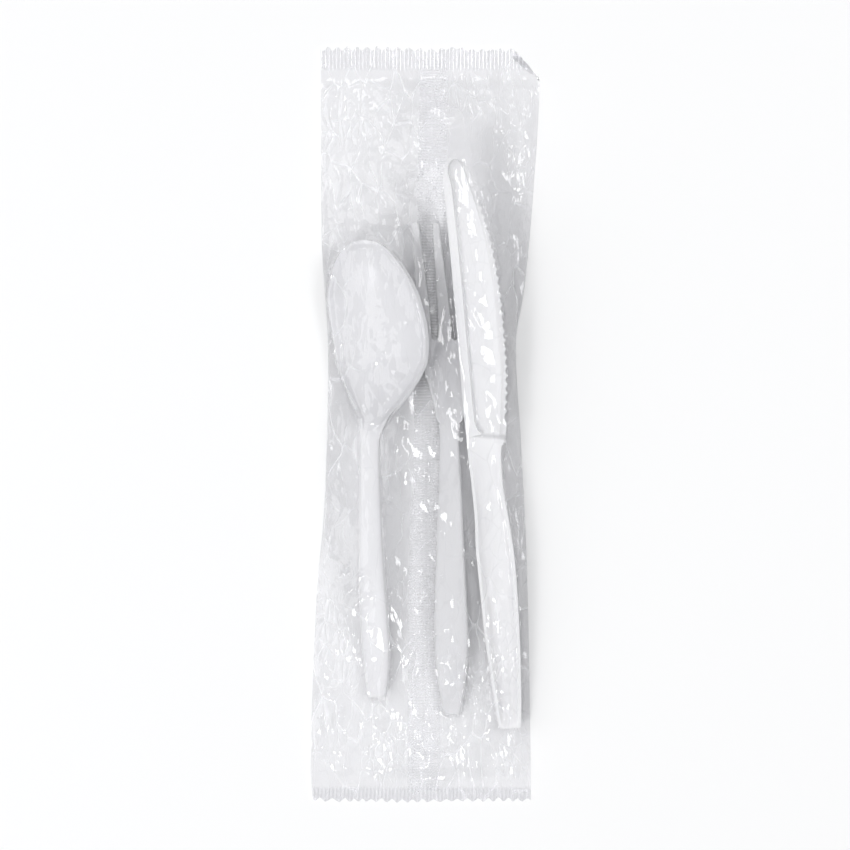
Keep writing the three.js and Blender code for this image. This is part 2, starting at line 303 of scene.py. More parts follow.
def foldEdges(tree, where, shown, look):
    # flat facets between sharp folds; along the folds a thin white line is painted in, a painted highlight
    # standing in for the glint off each crease
    edges = addNode(tree, "ShaderNodeTexVoronoi", voronoi_dimensions="2D", feature="DISTANCE_TO_EDGE")
    edges.inputs["Scale"].default_value = look["scale"]
    tree.links.new(where, edges.inputs["Vector"])
    distance = edges.outputs["Distance"]
    height = mathOf(tree, "MULTIPLY", mathOf(tree, "MULTIPLY", distance, look["height"]), shown)
    line = ranged(tree, distance, 0, look["line"], look["white"], 0)
    return height, mathOf(tree, "MULTIPLY", line, shown)


def addFolds(tree, where):
    # gives the normal of the folded film and the strength of the painted highlights along its folds
    link = tree.links.new
    sway = addNode(tree, "ShaderNodeTexNoise", noise_dimensions="2D")
    sway.inputs["Scale"].default_value = filmLook["bendScale"]
    sway.inputs["Detail"].default_value = 1
    link(where, sway.inputs["Vector"])
    bent = addNode(tree, "ShaderNodeVectorMath", operation="MULTIPLY_ADD")
    bent.inputs[1].default_value = (filmLook["bend"], filmLook["bend"], 0)
    link(sway.outputs["Color"], bent.inputs[0])
    link(where, bent.inputs[2])
    grain = addNode(tree, "ShaderNodeMapping")
    grain.inputs["Rotation"].default_value = (0, 0, filmLook["grain"]["turn"])
    grain.inputs["Scale"].default_value = (filmLook["grain"]["across"], filmLook["grain"]["along"], 1)
    link(bent.outputs["Vector"], grain.inputs["Vector"])
    patch = addNode(tree, "ShaderNodeTexNoise", noise_dimensions="2D")
    patch.inputs["Scale"].default_value = filmLook["patchScale"]
    link(where, patch.inputs["Vector"])
    split = addNode(tree, "ShaderNodeSeparateXYZ")
    link(where, split.inputs["Vector"])
    low, high, left = filmLook["calmAbove"]
    calm = ranged(tree, split.outputs["Z"], low * mm, high * mm, 1, left)
    wide = mathOf(tree, "MULTIPLY", ranged(tree, patch.outputs["Fac"], *filmLook["largePatches"]), calm)
    tight = mathOf(tree, "MULTIPLY", ranged(tree, patch.outputs["Fac"], *filmLook["smallPatches"]), calm)
    wideHeight, wideFoldHighlight = foldEdges(tree, grain.outputs["Vector"], wide, filmLook["largeFolds"])
    tightHeight, tightFoldHighlight = foldEdges(tree, grain.outputs["Vector"], tight, filmLook["smallFolds"])
    height = mathOf(tree, "ADD", wideHeight, tightHeight)
    return bumpFrom(tree, height, 1), mathOf(tree, "ADD", wideFoldHighlight, tightFoldHighlight)


def filmMaterial(name, pattern):
    # pattern is plain, ribs (end seals) or waffle (fin seal)
    material, tree, output = newMaterial(name)
    link = tree.links.new
    where = addNode(tree, "ShaderNodeTexCoord").outputs["Object"]
    normal, white = addFolds(tree, where)
    if pattern != "plain":
        split = addNode(tree, "ShaderNodeSeparateXYZ")
        link(where, split.inputs["Vector"])
        height = sineOf(tree, split.outputs["X"], filmLook["ribPitch"])
        if pattern == "waffle":
            both = addNode(tree, "ShaderNodeMath", operation="MULTIPLY_ADD")
            both.inputs[1].default_value = filmLook["waffleAcross"]
            link(height, both.inputs[0])
            link(sineOf(tree, split.outputs["Y"], filmLook["wafflePitch"]), both.inputs[2])
            height = both.outputs["Value"]
        normal = bumpFrom(tree, height, filmLook["pressHeight"], normal if pattern == "waffle" else None)
    # film seen at a slant is tinted darker: partly the real loss of light through slanted film, partly
    # painted shade for the shadows under its wrinkles
    facing = addNode(tree, "ShaderNodeLayerWeight")
    facing.inputs["Blend"].default_value = 0.5
    tint = addNode(tree, "ShaderNodeValToRGB")
    tint.color_ramp.elements[0].color = filmLook["sealed" if pattern == "ribs" else "clear"]
    tint.color_ramp.elements[0].position = filmLook["tintFrom"]
    tint.color_ramp.elements[1].color = filmLook["steepLossAndShade"]
    tint.color_ramp.elements[1].position = filmLook["tintTo"]
    link(facing.outputs["Facing"], tint.inputs["Fac"])
    clear = addNode(tree, "ShaderNodeBsdfTransparent")
    link(tint.outputs["Color"], clear.inputs["Color"])
    # white mixed in: painted highlights along the folds, and on the seals the real haze of their pressed
    # pattern
    hazeAndFoldHighlight = addNode(tree, "ShaderNodeBsdfDiffuse")
    hazeAndFoldHighlight.inputs["Color"].default_value = filmLook["hazeAndFoldHighlight"]
    hazedAndHighlighted = addNode(tree, "ShaderNodeMixShader")
    if pattern != "plain":
        least, most = filmLook["haze"][pattern]
        white = mathOf(tree, "ADD", white, ranged(tree, height, *filmLook["pressWhite"], least, most))
    link(white, hazedAndHighlighted.inputs["Fac"])
    link(clear.outputs["BSDF"], hazedAndHighlighted.inputs[1])
    link(hazeAndFoldHighlight.outputs["BSDF"], hazedAndHighlighted.inputs[2])
    shine = addNode(tree, "ShaderNodeBsdfGlossy")
    shine.inputs["Roughness"].default_value = filmLook["roughness"]
    shine.inputs["Color"].default_value = (1, 1, 1, 1)
    link(normal, shine.inputs["Normal"])
    mirror = addNode(tree, "ShaderNodeFresnel")
    mirror.inputs["IOR"].default_value = filmLook["ior"]
    link(normal, mirror.inputs["Normal"])
    surface = addNode(tree, "ShaderNodeMixShader")
    link(mirror.outputs["Fac"], surface.inputs["Fac"])
    link(hazedAndHighlighted.outputs["Shader"], surface.inputs[1])
    link(shine.outputs["BSDF"], surface.inputs[2])
    # lamps shine through the film evenly, whatever its wrinkles
    path = addNode(tree, "ShaderNodeLightPath")
    shadow = addNode(tree, "ShaderNodeBsdfTransparent")
    shadow.inputs["Color"].default_value = filmLook["lampsThrough"]
    lit = addNode(tree, "ShaderNodeMixShader")
    link(path.outputs["Is Shadow Ray"], lit.inputs["Fac"])
    link(surface.outputs["Shader"], lit.inputs[1])
    link(shadow.outputs["BSDF"], lit.inputs[2])
    link(lit.outputs["Shader"], output.inputs["Surface"])
    return material


def sineOf(tree, value, pitch):
    scaled = addNode(tree, "ShaderNodeMath", operation="MULTIPLY")
    scaled.inputs[1].default_value = 2 * math.pi / (pitch * mm)
    tree.links.new(value, scaled.inputs[0])
    wave = addNode(tree, "ShaderNodeMath", operation="SINE")
    tree.links.new(scaled.outputs["Value"], wave.inputs[0])
    return wave.outputs["Value"]


spoon = {
    "place": {"lean": 0, "roll": 19, "pitch": 0},
    "length": 139.5,
    "neck": 78,
    "wall": 1.15,
    "sections": 190,
    "crowding": 0.6,
    "pointsAcross": 41,
    "bowlFrom": 104,
    # how square the hollow is at the neck, how round further on, and from where to where
    "squareness": (3.6, 2.3, 88, 112),
    "blend": (-4, 12),
    "roundEdges": (0.35, 3, 50),
    "halfWidth": [(0, 2.6), (1.2, 3.1), (18, 4.5), (50, 3.7), (78, 3.2), (85, 4.7), (92, 8.9), (98, 12.3),
                  (103, 14.2), (112, 15), (121, 14.4), (128, 12.4), (132, 10.5), (135.5, 8.1), (137.6, 5.8),
                  (138.8, 3.8), (139.5, 1.2)],
    "rim": [(0, 0), (40, 5.6), (72, 8.4), (78, 8.6), (104, 4.2), (139.5, 6.6)],
    "floor": [(78, 8.5), (104, -0.8)],
    "bowlFloor": [(104, -0.8), (112, -1), (122, -0.5), (130, 1.4), (136, 4.4), (139.5, 6.3)],
    "edge": [(0, 1.6), (70, 2.2), (78, 1.6), (90, 0.3), (104, 0)],
    "sideways": [(0, 0), (78, 0.7), (85, 1.8), (92, 2.8), (99, 3.1), (108, 2.7), (125, 0.3), (139.5, -1.4)],
    "colour": (0.735, 0.735, 0.745),
    "shade": (0.7, 0.7, 0.715),
    "roughness": 0.34,
}


crown = {"roundness": 0.42, "sag": 0.04}


def crownedHandle(halfWidth, edge, angles):
    # smooth top with its edges turned down
    x = np.sign(angles) * np.abs(np.sin(angles)) ** crown["roundness"]
    z = -(1 - np.abs(np.cos(angles)) ** crown["roundness"]) - crown["sag"] * x * x
    return halfWidth[:, None] * x[None], edge[:, None] * z[None]


def easedStations(length, count, roundness):
    # sections along a piece, closer together towards both ends
    even = np.linspace(0, 1, count)
    eased = (1 - np.cos(np.pi * even)) / 2
    return length * (even * (1 - roundness) + eased * roundness)


def makeSpoon():
    y = easedStations(spoon["length"], spoon["sections"], spoon["crowding"])
    halfWidth = through(spoon["halfWidth"])(y)
    rim = through(spoon["rim"])(y)
    edge = through(spoon["edge"])(y)
    ramp = np.interp(y, *zip(*spoon["floor"]))
    floor = np.where(y < spoon["bowlFrom"], ramp, through(spoon["bowlFloor"])(y))
    depth = np.maximum(rim - floor, 0)
    angles = np.linspace(-math.pi / 2, math.pi / 2, spoon["pointsAcross"])
    handleX, handleZ = crownedHandle(halfWidth, edge, angles)
    across = np.sin(angles)
    square, rounded, low, high = spoon["squareness"]
    power = square - (square - rounded) * smoothStep(y, low, high)
    bowlX = halfWidth[:, None] * across[None]
    bowlZ = -depth[:, None] * (1 - np.abs(across[None]) ** power[:, None])
    before, after = spoon["blend"]
    share = smoothStep(y, spoon["neck"] + before, spoon["neck"] + after)[:, None]
    tops = np.stack([
        handleX * (1 - share) + bowlX * share + through(spoon["sideways"])(y)[:, None],
        handleZ * (1 - share) + bowlZ * share + rim[:, None],
    ], axis=2)
    points, faces = loft(tops, offsetBelow(tops, spoon["wall"]), y)
    plastic = mouldedPlastic("spoon plastic", spoon)
    piece = newObject("spoon_moulding", points, faces, [plastic])
    roundEdges(piece, *spoon["roundEdges"])
    layInPlace(piece, "spoon", spoon["place"])
    print("spoon made", len(piece.data.polygons))
    return piece


fork = {
    "place": {"lean": 0, "roll": 13, "pitch": 0},
    "length": 150.5,
    "neck": 85.5,
    "wall": 1.2,
    "sections": 170,
    "crowding": 0.3,
    "pointsAcross": 49,
    "tines": 4,
    "tinePitch": 6.3,
    "tineRoot": 4.3,
    "tineTip": 2.1,
    "slotDepth": 35,
    "outerFlare": 0.4,
    "cutterHeight": 20,
    "voxel": 0.3,
    # pressed panel behind the tines: from where to where, depth, and its border
    "panelFrom": (87, 93),
    "panelTo": (110, 114),
    "panelDepth": 0.55,
    "panelBorder": (0.9, 1.5),
    "dish": 0.5,
    "blend": (-0.6, 5),
    "halfWidth": [(0, 2.4), (1.2, 2.9), (23, 5.3), (55, 4.1), (85.5, 3.1), (92, 4.6), (108, 10.2),
                  (113, 11.5), (118, 11.9), (150.5, 11.9)],
    "height": [(0, 0), (40, 2.6), (78, 3.5), (85.5, 3.4), (112, 0.9), (130, 1.2), (150.5, 3.2)],
    "edge": [(0, 1.6), (77, 2.2), (85.5, 1.6), (98, 0)],
    "sideways": [(85.5, 0), (100, 0.9), (115, 1.2), (140, -0.4), (150.5, -0.9)],
    # the fork's white is set a little darker than the spoon's to match its tone in the shadow of its
    # neighbours: painted shade
    "colour": (0.7, 0.7, 0.71),
    "shade": (0.68, 0.68, 0.695),
    "roughness": 0.34,
}


def tineOutline():
    # everything behind the tines stays whole; each tine tapers to a round tip
    root = fork["length"] - fork["slotDepth"]
    outer = (fork["tines"] - 1) / 2 * fork["tinePitch"]
    tipRadius = fork["tineTip"] / 2
    far = fork["length"] - tipRadius
    outline = [(-outer * 2, -2), (outer * 2, -2), (outer * 2, root)]
    for i in reversed(range(fork["tines"])):
        middle = i * fork["tinePitch"] - outer
        right = fork["outerFlare"] if i == fork["tines"] - 1 else 0
        left = fork["outerFlare"] if i == 0 else 0
        outline.append((middle + fork["tineRoot"] / 2 + right, root))
        for a in np.linspace(0, math.pi, 13):
            outline.append((middle + tipRadius * math.cos(a), far + tipRadius * math.sin(a)))
        outline.append((middle - fork["tineRoot"] / 2 - left, root))
        if i:
            slot = (fork["tinePitch"] - fork["tineRoot"]) / 2
            for a in np.linspace(0, -math.pi, 11)[1:-1]:
                valley = middle - fork["tinePitch"] / 2
                outline.append((valley + slot * math.cos(a), root + slot * math.sin(a)))
    outline.append((-outer * 2, root))
    return outline


def makeFork():
    y = easedStations(fork["length"], fork["sections"], fork["crowding"])
    halfWidth = through(fork["halfWidth"])(y)
    angles = np.linspace(-math.pi / 2, math.pi / 2, fork["pointsAcross"])
    handleX, handleZ = crownedHandle(halfWidth, through(fork["edge"])(y), angles)
    across = np.sin(angles)
    plateX = halfWidth[:, None] * across[None]
    inside = halfWidth[:, None] - np.abs(plateX)
    pressed = smoothStep(y, *fork["panelFrom"]) * (1 - smoothStep(y, *fork["panelTo"]))
    panel = pressed[:, None] * smoothStep(inside, *fork["panelBorder"])
    plateZ = fork["dish"] * across[None] ** 2 - fork["panelDepth"] * panel
    before, after = fork["blend"]
    share = smoothStep(y, fork["neck"] + before, fork["neck"] + after)[:, None]
    tops = np.stack([
        handleX * (1 - share) + plateX * share,
        handleZ * (1 - share) + plateZ * share + through(fork["height"])(y)[:, None],
    ], axis=2)
    points, faces = loft(tops, offsetBelow(tops, fork["wall"]), y)
    plastic = mouldedPlastic("fork plastic", fork)
    piece = newObject("fork_moulding", points, faces, [plastic])
    outline = tineOutline()
    count = len(outline)
    walls = [(i, (i + 1) % count, (i + 1) % count + count, i + count) for i in range(count)]
    ends = [tuple(reversed(range(count))), tuple(range(count, count * 2))]
    cutterMesh = bpy.data.meshes.new("tine cutter")
    levels = (-fork["cutterHeight"], fork["cutterHeight"])
    cutterPoints = [(x * mm, v * mm, z * mm) for z in levels for x, v in outline]
    cutterMesh.from_pydata(cutterPoints, [], walls + ends)
    cutter = bpy.data.objects.new("tine cutter", cutterMesh)
    bpy.context.scene.collection.objects.link(cutter)
    cut = piece.modifiers.new("tines", "BOOLEAN")
    cut.operation = "INTERSECT"
    cut.object = cutter
    even = piece.modifiers.new("even", "REMESH")
    even.mode = "VOXEL"
    even.voxel_size = fork["voxel"] * mm
    soft = piece.modifiers.new("soft", "SMOOTH")
    soft.iterations = 4
    soft.factor = 0.5
    applyModifiers(piece)
    bpy.data.objects.remove(cutter)
    points = np.array([v.co for v in piece.data.vertices])
    points[:, 0] += through(fork["sideways"])(points[:, 1] / mm) * mm
    piece.data.vertices.foreach_set("co", points.ravel())
    piece.data.shade_smooth()
    layInPlace(piece, "fork", fork["place"])
    print("fork made", len(piece.data.polygons))
    return piece


knife = {
    "place": {"lean": 5.8, "roll": 5, "pitch": 4},
    "length": 174.2,
    "heel": 89.4,
    "rim": 0.9,
    "rimHeight": 3.4,
    "webPoints": 19,
    "channelSquareness": 3.2,
    "leastFloor": 0.6,
    "edgeDrop": (0.35, 0.45, 0.55),
    "heelStep": 1.5,
    "heelReach": 8,
    "web": 1.9,
    "toothPitch": 2.7,
    "toothDepth": 0.75,
    "tipRound": 4.4,
    "roundEdges": (0.22, 2, 35),
    "heelSlant": 0.17,
    "teethFrom": 94,
    "teethTo": 166,
    "left": [(0, -3), (1.5, -3.6), (15, -4.4), (32, -5.1), (54, -5.1), (68, -4.4), (93, -4.6), (120, -4.2),
             (147, -3.8), (168, -3.7), (174.2, -3)],
    "right": [(0, 3), (1.5, 3.4), (39, 6.1), (50, 6.4), (61, 6), (75, 5.1), (86, 5.6), (89.4, 7), (93.4, 7.9),
              (105, 9.6), (115, 10.2), (130, 10.4), (147, 9.3), (158, 7.3), (168, 4.7), (174.2, 3.4)],
    "channel": [(0, 0.2), (1, 0.5), (6, 2.3), (20, 2.9), (55, 2.3), (80, 0.9), (89.4, 0)],
    "sole": [(0, 1.4), (12, 0), (60, 0.2), (89.4, 1.4)],
    "rib": [(90.6, 5.2), (91.4, 4), (92.6, 3.3), (95, 2.9), (166, 2.3), (174.2, 0.6)],
    # the knife's white is set lighter than the spoon's to match its blade's tone where it tilts towards the
    # lamps: painted light
    "colour": (0.82, 0.82, 0.825),
    "shade": (0.8, 0.8, 0.81),
    "roughness": 0.32,
}


def knifeSections():
    # y of each section: even along the handle, fine over the teeth, close together at both ends
    handle = np.concatenate([[0, 0.3, 0.8, 1.6, 2.6], np.linspace(4, 88, 70), [88.8, 89.4]])
    step = np.array([89.8, 90.2, 90.6, 91, 91.6, 92.4, 93.2])
    teeth = int(round((knife["teethTo"] - knife["teethFrom"]) / knife["toothPitch"]))
    blade = knife["teethFrom"] + np.arange(teeth * 6 + 1) * knife["toothPitch"] / 6
    tip = knife["length"] - (knife["length"] - blade[-1]) * (1 - np.sin(np.linspace(0, math.pi / 2, 12)[1:]))
    return np.concatenate([handle, step, blade, tip])


def toothCut(y):
    phase = ((y - knife["teethFrom"]) / knife["toothPitch"]) % 1
    scallop = np.sin(np.pi * phase) ** 0.8
    inTeeth = (y > knife["teethFrom"]) & (y < knife["teethTo"])
    return np.where(inTeeth, knife["toothDepth"] * scallop, 0)


def makeKnife():
    y = knifeSections()
    a = through(knife["left"])(y)
    spine = through(knife["right"])(y)
    nearTip = np.clip((y - knife["length"]) / knife["tipRound"] + 1, 0, 1)
    closing = (1 - np.sqrt(1 - nearTip ** 2)) * (spine - a) * 0.46
    a = a + closing
    spine = spine - closing
    b = spine - toothCut(y)
    top, web, heel = knife["rimHeight"], knife["web"], knife["heel"]
    rim, webPoints = knife["rim"], knife["webPoints"]
    inner = np.linspace(-1, 1, webPoints + 2)
    # handle: two rims and a rounded channel between them
    sole = through(knife["sole"])(y)
    floorDepth = np.minimum(through(knife["channel"])(y), top - sole - knife["leastFloor"])
    middle, half = (a + b) / 2, (b - a) / 2 - rim
    channelX = middle[:, None] + half[:, None] * inner
    channelZ = top - floorDepth[:, None] * (1 - np.abs(inner) ** knife["channelSquareness"])
    flat = np.full_like(a, top)
    handleTop = np.stack([
        np.column_stack([a, a + 0.45, a + rim, channelX[:, 1:-1], b - rim, b - 0.45, b]),
        np.column_stack([flat, flat, flat, channelZ[:, 1:-1], flat, flat, flat]),
    ], axis=2)
    # blade: rib on the left, recessed web, thinner toothed edge on the right
    rib = through(knife["rib"])(y)
    narrow = np.clip((b - a) / 13, 0.15, 1)
    webLeft, webRight = a + rib + 0.35 * narrow, spine - 2.1 * narrow
    webX = webLeft[:, None] + (webRight - webLeft)[:, None] * np.linspace(0, 1, webPoints)
    level = np.full_like(a, web)
    lowered = [level - drop for drop in knife["edgeDrop"]]
    bladeTop = np.stack([
        np.column_stack([a, a + rib * 0.5, a + rib, webX, spine - 1.6 * narrow, b - 0.5 * narrow, b]),
        np.column_stack([flat, flat + 0.12, flat] + [level] * webPoints + lowered),
    ], axis=2)
    heelEnd, reach = heel + knife["heelStep"], knife["heelReach"]
    share = smoothStep(y, heel, heelEnd)[:, None, None]
    tops = handleTop * (1 - share) + bladeTop * share
    spread = np.linspace(-1, 1, tops.shape[1])
    roundX = np.sign(spread) * np.abs(np.sin(spread * math.pi / 2)) ** 0.6
    handleUnder = np.stack([
        middle[:, None] + (half + rim)[:, None] * roundX,
        sole[:, None] + (top - 1 - sole)[:, None] * np.abs(spread) ** 5,
    ], axis=2)
    bladeUnder = tops.copy()
    bladeUnder[..., 1] = 0.8 + 0.35 * np.abs(spread) ** 8
    unders = handleUnder * (1 - share) + bladeUnder * share
    points, faces = loft(tops, unders, y)
    # the step at the heel runs a little askew
    along = points[:, 1]
    nearHeel = smoothStep(along, heel - reach, heel) * (1 - smoothStep(along, heelEnd, heel + reach))
    points[:, 1] -= knife["heelSlant"] * nearHeel * (points[:, 0] + 1)
    plastic = mouldedPlastic("knife plastic", knife)
    piece = newObject("knife_moulding", points, faces, [plastic])
    roundEdges(piece, *knife["roundEdges"])
    layInPlace(piece, "knife", knife["place"])
    print("knife made", len(piece.data.polygons))
    return piece


sleeve = {
    "halfLength": 116,
    "columns": 132,
    "rows": 440,
    "backRows": 220,
    "finGrid": (220, 8),
    "finHeight": 0.15,
    "smoothAngle": 60,
    "topSeal": 6.9,
    "bottomSeal": 5,
    "coarseJump": 4,
    "coarsePasses": 500,
    "finePasses": 250,
    "sealFade": 7,
    "openFrom": (-1, 15),
    "freeFrom": (0.1, 1.2),
    "sideCalm": 3,
    "onCutlery": 0.2,
    "atSide": 0.3,
    "inSealShare": 0.12,
    "leastHollow": 0.3,
    "foldLift": 0.2,
    "backFoldLift": 0.5,
    "backSlack": 0.03,
    "slackFade": (98, 110),
    # fine folded waves: share, count, shortest, longest, spread of angles, seed
    "waves": (0.05, 24, 2.4, 16, 0.6, 5),
    "backWaves": (12, 3, 12, 0.5, 77),
    "sealHeight": 0.55,
    "sideHeight": 0.8,
    "backHeight": 0.35,
    "clearance": 0.3,
    "tooth": {"pitch": 3.15, "depth": 1.7, "wander": 1.6, "curl": 1.3},
    "foldLine": ((26.4, 116.2), (35, 106.4)),
    "fin": [(-112, -5.3, 4.6), (-54, -5.3, 5), (0, -3.4, 5.6), (66, -2.5, 6.5), (112, -1.7, 7.1)],
    "left": [(-116, -34.4), (-106, -35), (-53, -33.2), (-21, -30.6), (20, -29.6), (60, -31.7), (116, -31.9)],
    "right": [(-116, 32.4), (-47, 31.3), (-6, 29.4), (24, 27.8), (41, 30.3), (69, 33), (106.4, 35),
              (116, 31.2)],
    # flat facets that catch the light: two low corners, the high corner, rise
    "facets": [
        (((-9.6, 93.5), (-5.6, 88.2), (-3.6, 92.2)), 1.8),
        (((-10.5, 71.5), (-6.2, 66), (-4.2, 69.5)), 1.7),
        (((-14.5, 103.5), (-12, 98.5), (-10.2, 100.5)), 1.0),
        (((-12.6, 98.4), (-10.4, 94.6), (-8.4, 96.6)), 0.9),
        (((-14, 74), (-10.6, 70.6), (-10, 74.4)), 0.9),
        (((-3, 87.4), (1.6, 80.6), (1.4, 84)), 0.8),
    ],
    "facetSeed": 11,
    # clusters of small facets: x, y, spread across, spread along, count
    "clusters": [
        (-13, 101, 2, 3, 8), (-8, 93, 2, 4, 12), (-7, 77, 3, 2.5, 8), (-10, 70, 3, 3, 8),
        (27, 96, 2, 6, 14), (30, 80, 1.5, 6, 12), (22, 90, 3, 6, 8), (24, 70, 3, 5, 8),
        (27, 46, 1.5, 5, 12), (1, 52, 1.3, 8, 14), (3, 32, 1.5, 5, 8), (-27.5, 24, 1, 4, 7),
        (0, 12, 2, 5, 7), (-28, -8, 1.5, 8, 8), (-10, -14, 1.5, 7, 8), (-22, -55, 3, 9, 10),
        (-28, -80, 2, 9, 10), (-12, -96, 6, 5, 14), (6, -98, 5, 5, 12), (22, -101, 5, 4, 14),
        (-2, -60, 1.5, 12, 8), (28, -20, 1, 12, 8), (-26, 66, 3, 8, 10), (-24, 96, 4, 8, 10),
        (10, 100, 3, 5, 8),
    ],
    # networks of thin ridges: cell, stretch along the sleeve, ridge width, height, seed
    "nets": [(11, 1.8, 1.1, 0.2, 3), (4.6, 1.6, 0.9, 0.14, 9), (2.4, 1.4, 0.8, 0.1, 21)],
    "creaseShare": 0.8,
    # creases: points along them, half width, height
    "creases": [
        ([(-18.5, 109), (-11, 97), (-4, 85)], 1.6, 1.0),
        ([(-25.2, 108), (-25.2, 94)], 1.0, 0.7),
        ([(-9, 94), (-5, 90), (-3, 86)], 1.5, 0.8),
        ([(-10, 71), (-6, 68), (-8, 63)], 1.4, 0.7),
        ([(-29.6, 60), (-29.8, 30)], 0.8, 0.8),
        ([(-8.3, 4), (-10, -10), (-12, -23)], 1.2, 0.9),
        ([(2, 19), (3, 8)], 1.0, 0.6),
        ([(-20.6, -25), (-15.4, -41.7), (-11, -51.6), (-6.6, -61.4)], 1.5, 0.8),
        ([(18, 108), (24, 92), (29, 80)], 1.5, 0.8),
        ([(12, 104), (9, 90)], 1.2, 0.7),
        ([(30, 70), (27, 52), (28, 34)], 1.2, 0.7),
        ([(-24, -70), (-27, -84), (-25, -100)], 1.5, 0.8),
        ([(2, -96), (8, -103), (10, -110)], 1.2, 0.6),
        ([(20, -98), (24, -106), (23, -111)], 1.2, 0.6),
        # thin lines near the top seal
        ([(-10.9, 103.9), (-7.9, 100.1), (-6.5, 97.3)], 0.7, 0.5),
        ([(-1.8, 102.9), (-5.5, 99.6)], 0.7, 0.4),
        ([(-29.9, 105.7), (-27.1, 99.2)], 0.9, 0.6),
        ([(12.3, 108.1), (16.5, 98.2), (18.9, 93.1)], 0.9, 0.6),
        ([(25.9, 108.1), (27.3, 99.2), (29.2, 89.3)], 0.9, 0.6),
        ([(8.1, 108.1), (11.8, 96.8)], 0.8, 0.5),
        ([(-2.7, 88.4), (0.1, 87.4), (2, 81.8), (3.9, 79.9)], 0.9, 0.6),
        ([(-9.3, 71), (-5.5, 68.7), (-2.7, 65.8)], 0.8, 0.6),
        ([(-23.8, 102.9), (-19.6, 104.8), (-15.8, 101.5)], 0.7, 0.4),
        ([(-20.1, 86.5), (-21.2, 80.4)], 0.7, 0.4),
        # beside the fork
        ([(-5.8, 59.6), (-2.8, 53.2), (-2, 46.7), (-2.4, 39)], 1.1, 0.9),
        ([(5.3, 35.5), (3.6, 26.1), (1.9, 18.8), (3.2, 8), (3.2, -2.7)], 0.9, 0.8),
        # long folds beside both edges
        ([(-32.3, -30), (-33, -55), (-33.8, -100)], 0.7, 0.6),
        ([(30.4, -50), (31.2, -85), (31.6, -106)], 0.7, 0.5),
        ([(-30.6, 92), (-30.3, 66)], 0.7, 0.5),
        # a net of lines between the handle ends and the bottom seal
        ([(-34.4, -97.8), (-30.5, -99.7), (-22.5, -99.7), (-18.1, -94.3), (-11.2, -93.4)], 0.7, 0.5),
        ([(-30.5, -99.7), (-30.1, -103.6), (-24.4, -103.6), (-21.5, -100.2)], 0.7, 0.5),
        ([(-24.4, -103.6), (-20.5, -108.5)], 0.7, 0.4),
        ([(-19.1, -104.1), (-13.2, -108)], 0.7, 0.4),
        ([(-18.3, -83.1), (-19.1, -95.3)], 0.7, 0.5),
        ([(4.6, -88), (7.3, -89.5), (14.1, -103.1), (15.1, -108.5)], 0.8, 0.6),
        ([(22, -88.5), (22.9, -100.2), (25.4, -104.1), (27.8, -95.3), (29.8, -90.9)], 0.8, 0.6),
        ([(-5.4, -89.5), (-5.4, -103.1), (-7.3, -107)], 0.7, 0.5),
    ],
}


lattice = 64


def latticeNoise(x, y, cell, seed):
    # smooth random values on a lattice, 0 to 1
    rng = np.random.default_rng(seed)
    grid = rng.random((lattice, lattice))
    u, v = x / cell, y / cell
    i, j = np.floor(u).astype(int), np.floor(v).astype(int)
    s, t = u - i, v - j
    s, t = s * s * (3 - 2 * s), t * t * (3 - 2 * t)
    i, j = i % lattice, j % lattice
    nextI, nextJ = (i + 1) % lattice, (j + 1) % lattice
    low = grid[i, j] * (1 - s) + grid[nextI, j] * s
    high = grid[i, nextJ] * (1 - s) + grid[nextI, nextJ] * s
    return low * (1 - t) + high * t


def crumple(x, y, count, shortest, longest, spread, seed):
    # many folded waves: flat facets that meet in sharp creases
    rng = np.random.default_rng(seed)
    total = np.zeros_like(x)
    for k in range(count):
        length = shortest * (longest / shortest) ** rng.random()
        angle = rng.normal(0, spread)
        warp = 0.7 * length * (latticeNoise(x, y, length * 3.1, seed + 31 * k) - 0.5)
        phase = ((x * math.cos(angle) + y * math.sin(angle) + warp) / length + rng.random()) % 1
        wave = np.abs(phase * 2 - 1)
        mask = smoothStep(latticeNoise(x, y, length * 3.3, seed + 17 + 53 * k), 0.5, 0.75)
        total += length * wave * mask
    return total


def netLines(x, y, cell, stretch, width, seed):
    # thin ridges along the borders of random cells, 0 to 1
    rng = np.random.default_rng(seed)
    jitter = rng.random((lattice, lattice, 2))
    wander = 0.35 * cell
    u = (x + wander * (latticeNoise(x, y, cell * 0.7, seed + 1) - 0.5)) / cell
    v = (y + wander * (latticeNoise(x, y, cell * 0.7, seed + 2) - 0.5)) / (cell * stretch)
    i, j = np.floor(u).astype(int), np.floor(v).astype(int)
    first = np.full_like(x, 9.0)
    second = np.full_like(x, 9.0)
    for di in (-1, 0, 1):
        for dj in (-1, 0, 1):
            spot = jitter[(i + di) % lattice, (j + dj) % lattice]
            distance = np.hypot(i + di + spot[..., 0] - u, j + dj + spot[..., 1] - v)
            second = np.minimum(second, np.maximum(first, distance))
            first = np.minimum(first, distance)
    shown = smoothStep(latticeNoise(x, y, cell * 2.3, seed + 3), 0.5, 0.75)
    return shown * np.clip(1 - (second - first) * cell / width, 0, 1)


def creaseHeight(x, y, path, halfWidth, height):
    nearest = np.full_like(x, 1e9)
    along = np.zeros_like(x)
    steps = len(path) - 1
    for n in range(steps):
        (ax, ay), (bx, by) = path[n], path[n + 1]
        dx, dy = bx - ax, by - ay
        t = np.clip(((x - ax) * dx + (y - ay) * dy) / (dx * dx + dy * dy), 0, 1)
        distance = np.hypot(x - ax - t * dx, y - ay - t * dy)
        closer = distance < nearest
        nearest = np.where(closer, distance, nearest)
        along = np.where(closer, (n + t) / steps, along)
    taper = np.sin(np.pi * np.clip(along, 0.02, 0.98)) ** 0.5
    return height * taper * np.clip(1 - nearest / halfWidth, 0, 1)


